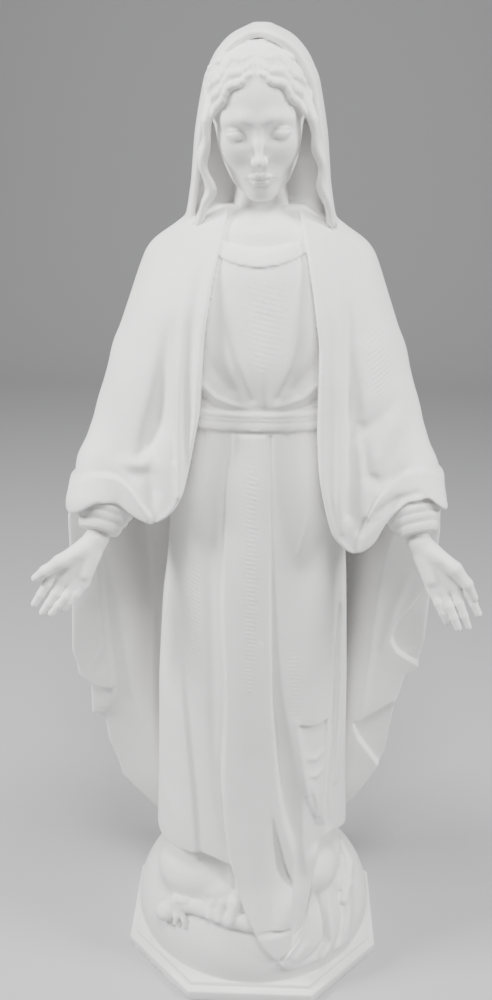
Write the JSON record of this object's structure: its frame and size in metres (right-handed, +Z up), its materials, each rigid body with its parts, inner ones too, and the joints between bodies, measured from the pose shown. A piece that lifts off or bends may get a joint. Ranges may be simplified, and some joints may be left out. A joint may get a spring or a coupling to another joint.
{
  "type": "virgin mary statue",
  "caption": "Life-size robed and veiled standing woman with open hands, on a globe with a serpent and an octagonal plinth, carved in one piece of white stone",
  "frame": {"origin": "middle of the plinth's underside", "axes": "+Z up through the crown, +X to the viewer's right, -Y toward the viewer, the way the figure faces"},
  "size_m": [0.7019, 0.43, 1.6226],
  "materials": {
    "white_marble": "matt honed white marble"
  },
  "bodies": {
    "root": {"statue": "white_marble"}
  },
  "joints": []
}
